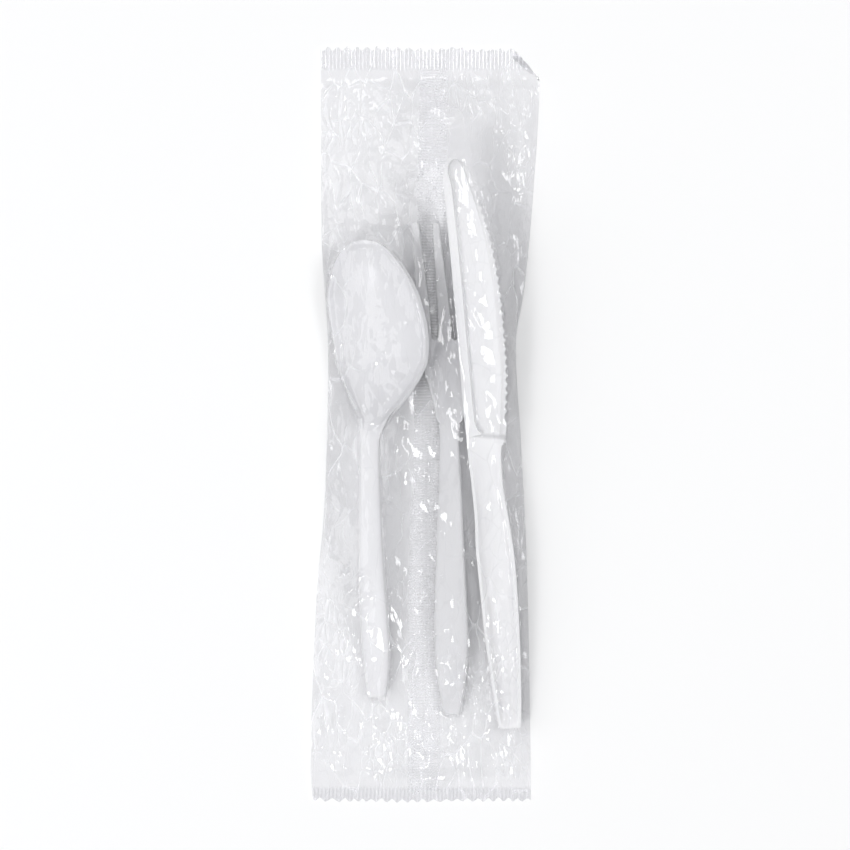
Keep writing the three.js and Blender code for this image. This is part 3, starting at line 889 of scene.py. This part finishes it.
def triangleHeight(x, y, corners, rise):
    # a tilted flat facet: nothing along its first two corners, highest at the third
    (ax, ay), (bx, by), (cx, cy) = corners
    area = (bx - ax) * (cy - ay) - (by - ay) * (cx - ax)
    toC = ((bx - ax) * (y - ay) - (by - ay) * (x - ax)) / area
    toB = ((x - ax) * (cy - ay) - (y - ay) * (cx - ax)) / area
    inside = (toB >= 0) & (toC >= 0) & (toB + toC <= 1)
    return np.where(inside, toC * rise, 0)


def facetHeights(x, y):
    # the large flat facets, then clusters of small ones
    total = np.zeros_like(x)
    for corners, rise in sleeve["facets"]:
        total = np.maximum(total, triangleHeight(x, y, corners, rise))
    rng = np.random.default_rng(sleeve["facetSeed"])
    for cx, cy, across, along, count in sleeve["clusters"]:
        for _ in range(count):
            px, py = cx + rng.normal(0, across), cy + rng.normal(0, along)
            size = rng.uniform(0.8, 2.3)
            facing = math.radians(rng.normal(48, 28))
            ux, uy = math.cos(facing), math.sin(facing)
            skew = rng.uniform(-0.6, 0.6) * size
            left = (px - uy * size, py + ux * size)
            right = (px + uy * size * 0.6, py - ux * size * 0.6)
            far = (px + ux * size - uy * skew, py + uy * size + ux * skew)
            total = np.maximum(total, triangleHeight(x, y, (left, right, far), size * rng.uniform(0.35, 0.6)))
    return total


def sleeveGrid(columns, rows):
    y = np.linspace(-sleeve["halfLength"], sleeve["halfLength"], rows + 1)
    u = np.linspace(0, 1, columns + 1)
    left, right = through(sleeve["left"])(y), through(sleeve["right"])(y)
    x = left[:, None] + (right - left)[:, None] * u[None]
    return x, np.repeat(y[:, None], columns + 1, axis=1)


def topsOfCutlery(x, y, pieces):
    # drops a line on every grid point and keeps the highest hit
    trees = []
    for piece in pieces:
        corners = [v.co for v in piece.data.vertices]
        trees.append(BVHTree.FromPolygons(corners, [f.vertices for f in piece.data.polygons]))
    down = Vector((0, 0, -1))
    stand = np.full(x.shape, -1.0)
    for j in range(x.shape[0]):
        for i in range(x.shape[1]):
            start = Vector((x[j, i] * mm, y[j, i] * mm, 0.1))
            for tree in trees:
                hit = tree.ray_cast(start, down)[0]
                if hit is not None:
                    stand[j, i] = max(stand[j, i], hit.z / mm)
    return stand


def widen(field, steps):
    grown = field.copy()
    for _ in range(steps):
        padded = np.pad(grown, 1, mode="edge")
        across = np.maximum(padded[1:-1, :-2], padded[1:-1, 2:])
        along = np.maximum(padded[:-2, 1:-1], padded[2:, 1:-1])
        grown = np.maximum(grown, np.maximum(across, along))
    return grown


def distanceFromSeals(y):
    fromTop = sleeve["halfLength"] - sleeve["topSeal"] - y
    fromBottom = y + sleeve["halfLength"] - sleeve["bottomSeal"]
    return np.minimum(fromTop, fromBottom)


def pullTaut(height, stand, passes):
    # a skin level with its neighbours, never below what it covers, held down at the seals and sides
    rows = np.linspace(-1, 1, stand.shape[0]) * sleeve["halfLength"]
    fromSeal = distanceFromSeals(rows)
    side = sleeve["sealHeight"] + (sleeve["sideHeight"] - sleeve["sealHeight"]) * smoothStep(fromSeal, 0, 14)
    for _ in range(passes):
        height[1:-1, 1:-1] = (height[:-2, 1:-1] + height[2:, 1:-1] + height[1:-1, :-2] + height[1:-1, 2:]) / 4
        height = np.maximum(height, stand)
        height[:, 0] = side
        height[:, -1] = side
        height[fromSeal <= 0] = sleeve["sealHeight"]
    return height


def zigzagEnds(x, y):
    # pulls the last rows in to zig-zag teeth
    tooth = sleeve["tooth"]
    top = y > 0
    wander = tooth["wander"] * (latticeNoise(x, np.where(top, 0, 40), 8, 61) - 0.5)
    wave = np.abs((((x + wander) / tooth["pitch"]) % 1) * 2 - 1)
    uneven = np.where(top, smoothStep(x, -12, 4), 0.8)
    depth = tooth["depth"] * (1 - 0.6 * uneven * latticeNoise(x, np.where(top, 0, 30), 4.3, 67))
    curl = tooth["curl"] * uneven * latticeNoise(x, np.where(top, 10, 50), 9, 71)
    reach = smoothStep(np.abs(y), sleeve["halfLength"] - 5, sleeve["halfLength"])
    return y - np.sign(y) * reach * (wave * depth + curl)


def foldCorner(x, y, z, lift):
    # turns the top right corner over on to the front
    (ax, ay), (bx, by) = sleeve["foldLine"]
    length = math.hypot(bx - ax, by - ay)
    nx, ny = -(by - ay) / length, (bx - ax) / length
    beyond = (x - ax) * nx + (y - ay) * ny
    over = np.maximum(beyond, 0)
    folded = beyond > 0
    x = np.where(folded, x - 2 * over * nx, x)
    y = np.where(folded, y - 2 * over * ny, y)
    z = np.where(folded, sleeve["sealHeight"] + lift + 0.45 * np.maximum(1.7 - over, 0), z)
    return x, y, z


def makeSleeve(pieces):
    columns = sleeve["columns"]
    x, y = sleeveGrid(columns, sleeve["rows"])
    cutleryTop = widen(topsOfCutlery(x, y, pieces), 1) + sleeve["clearance"]
    stand = np.where(cutleryTop > 0, cutleryTop, 0)
    # first on a coarse grid, which settles sooner, then on the fine one
    jump = sleeve["coarseJump"]
    coarse = pullTaut(stand[::jump, ::jump].copy(), stand[::jump, ::jump], sleeve["coarsePasses"])
    spread = np.kron(coarse, np.ones((jump, jump)))[: stand.shape[0], : stand.shape[1]]
    height = pullTaut(np.maximum(stand, spread), stand, sleeve["finePasses"])
    fromSeal = distanceFromSeals(y)
    inSeal = 1 - smoothStep(fromSeal, 0, sleeve["sealFade"])
    swell = smoothStep(fromSeal, *sleeve["openFrom"])
    height = sleeve["sealHeight"] + (height - sleeve["sealHeight"]) * swell
    print("sleeve pulled taut")
    free = smoothStep(height - cutleryTop, *sleeve["freeFrom"])
    share, *waves = sleeve["waves"]
    wrinkle = share * crumple(x, y, *waves)
    for cell, stretch, width, tall, seed in sleeve["nets"]:
        wrinkle += tall * netLines(x, y, cell, stretch, width, seed)
    for path, halfWidth, tall in sleeve["creases"]:
        wrinkle += creaseHeight(x, y, path, halfWidth, tall * sleeve["creaseShare"])
    side = smoothStep(np.minimum(x - x[:, :1], x[:, -1:] - x), 0, sleeve["sideCalm"])
    calm = sleeve["atSide"] + (1 - sleeve["atSide"]) * side
    calm = calm * (sleeve["onCutlery"] + (1 - sleeve["onCutlery"]) * free)
    height = height + wrinkle * (1 - inSeal) * calm
    lowest = sleeve["backHeight"] + sleeve["leastHollow"]
    height = np.maximum(height + facetHeights(x, y) * (1 - inSeal), lowest)
    crimped = sleeve["sealHeight"] + sleeve["inSealShare"] * wrinkle
    height = height * (1 - inSeal) + crimped * inSeal
    frontX, frontY, frontZ = foldCorner(x, zigzagEnds(x, y), height, sleeve["foldLift"])

    backX, backY = sleeveGrid(columns, sleeve["backRows"])
    slack = sleeve["backSlack"] * crumple(backX, backY, *sleeve["backWaves"])
    backZ = sleeve["backHeight"] + slack * (1 - 0.9 * smoothStep(np.abs(backY), *sleeve["slackFade"]))
    backX, backY, backZ = foldCorner(backX, zigzagEnds(backX, backY), backZ, sleeve["backFoldLift"])

    frontPoints = np.stack([frontX, frontY, frontZ], axis=2).reshape(-1, 3)
    backPoints = np.stack([backX, backY, backZ], axis=2).reshape(-1, 3)
    faces = gridFaces(sleeve["rows"], columns, 0, False)
    faces += gridFaces(sleeve["backRows"], columns, len(frontPoints), True)
    faces += edgeWalls(sleeve["backRows"], columns, len(frontPoints))
    points = np.concatenate([frontPoints, backPoints])
    films = [filmMaterial("clear film", "plain"), filmMaterial("crimped film", "ribs")]
    piece = newObject("film_sleeve", points, faces, films, sleeve["smoothAngle"])
    middles = np.array([points[list(f)].mean(0)[1] for f in faces])
    sealed = distanceFromSeals(middles) < 0
    piece.data.polygons.foreach_set("material_index", sealed.astype(np.int32))
    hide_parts("film_wrapper")
    print("sleeve made", len(piece.data.polygons))


def gridFaces(rows, columns, first, flipped):
    faces = []
    wide = columns + 1
    for j in range(rows):
        for i in range(columns):
            a = first + j * wide + i
            quad = (a, a + 1, a + 1 + wide, a + wide)
            faces.append(tuple(reversed(quad)) if flipped else quad)
    return faces


def edgeWalls(backRows, columns, first):
    # joins the front sheet to the back sheet all round; the front has two rows to each of the back
    faces = []
    wide = columns + 1
    for j in range(backRows):
        a, b, c = 2 * j * wide, (2 * j + 1) * wide, (2 * j + 2) * wide
        low, high = first + j * wide, first + (j + 1) * wide
        faces.append((a, b, c, high, low))
        faces.append((c + columns, b + columns, a + columns, low + columns, high + columns))
    end, backEnd = 2 * backRows * wide, first + backRows * wide
    for i in range(columns):
        faces.append((i + 1, i, first + i, first + i + 1))
        faces.append((end + i, end + i + 1, backEnd + i + 1, backEnd + i))
    return faces


def makeFin():
    # the lengthwise seal of the back: a pressed strip that lies flat under the sleeve
    rows, columns = sleeve["finGrid"]
    stations = sleeve["fin"]
    y = np.linspace(stations[0][0], stations[-1][0], rows + 1)
    left = through([(s[0], s[1]) for s in stations])(y)
    right = through([(s[0], s[2]) for s in stations])(y)
    u = np.linspace(0, 1, columns + 1)
    x = left[:, None] + (right - left)[:, None] * u
    yy = np.repeat(y[:, None], columns + 1, axis=1)
    points = np.stack([x, yy, np.full_like(x, sleeve["finHeight"])], axis=2).reshape(-1, 3)
    faces = gridFaces(rows, columns, 0, False)
    pressed = filmMaterial("pressed film", "waffle")
    piece = newObject("film_fin_seal", points, faces, [pressed], sleeve["smoothAngle"])
    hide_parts("film_wrapper")
    print("fin seal made", len(piece.data.polygons))


studio = {
    "floor": (0.93, 0.93, 0.93, 1),
    "floorSize": 6.0,
    "world": (0.92, 0.93, 0.95),
    "worldStrength": 0.355,
    "worldShine": 0.8,
    "lamps": {
        "ceiling": {"at": (-0.25, 0, 1.95), "size": 3, "power": 15},
        "key": {"at": (-1.15, -1.25, 1.42), "size": 0.55, "power": 13},
        "low left": {"at": (-1.5, 0.1, 0.85), "size": 1.3, "power": 8.5},
        "far softbox": {"at": (-0.13, 0.74, 1.12), "size": 0.4, "power": 1.6},
        "right strip": {"at": (0.92, 0.16, 0.9), "size": 0.4, "power": 3.7},
    },
    "cameraHeight": 1.2,
    "viewWidth": 0.2604,
}


def addLight(name, look):
    light = bpy.data.lights.new(name, "AREA")
    light.shape = "SQUARE"
    light.size = look["size"]
    light.energy = look["power"]
    lamp = bpy.data.objects.new(name, light)
    lamp.location = look["at"]
    lamp.rotation_euler = Vector(look["at"]).to_track_quat("Z", "Y").to_euler()
    bpy.context.scene.collection.objects.link(lamp)


def setStage():
    scene = bpy.context.scene
    material, tree, output = newMaterial("white table")
    paper = addNode(tree, "ShaderNodeBsdfDiffuse")
    paper.inputs["Color"].default_value = studio["floor"]
    tree.links.new(paper.outputs["BSDF"], output.inputs["Surface"])
    half = studio["floorSize"] / 2
    mesh = bpy.data.meshes.new("table")
    corners = [(-half, -half, 0), (half, -half, 0), (half, half, 0), (-half, half, 0)]
    mesh.from_pydata(corners, [], [(0, 1, 2, 3)])
    mesh.materials.append(material)
    table = bpy.data.objects.new("table", mesh)
    scene.collection.objects.link(table)
    world = bpy.data.worlds.new("studio")
    world.use_nodes = True
    tree = world.node_tree
    tree.nodes.remove(tree.nodes["Background"])
    path = addNode(tree, "ShaderNodeLightPath")
    either = addNode(tree, "ShaderNodeMixShader")
    tree.links.new(path.outputs["Is Glossy Ray"], either.inputs["Fac"])
    # glossy things see a brighter room than the one that lights them
    for socket, strength in ((1, studio["worldStrength"]), (2, studio["worldShine"])):
        sky = addNode(tree, "ShaderNodeBackground")
        sky.inputs["Color"].default_value = (*studio["world"], 1)
        sky.inputs["Strength"].default_value = strength
        tree.links.new(sky.outputs["Background"], either.inputs[socket])
    tree.links.new(either.outputs["Shader"], tree.nodes["World Output"].inputs["Surface"])
    scene.world = world
    for name, look in studio["lamps"].items():
        addLight(name, look)
    camera = bpy.data.objects.new("camera", bpy.data.cameras.new("camera"))
    camera.location = (0, 0, studio["cameraHeight"])
    camera.data.sensor_width = 36
    camera.data.lens = 36 * studio["cameraHeight"] / studio["viewWidth"]
    scene.collection.objects.link(camera)
    scene.camera = camera
    scene.view_settings.view_transform = "Standard"
    print("stage set")


setStage()
cutlery = [makeSpoon(), makeFork(), makeKnife()]
makeSleeve(cutlery)
makeFin()
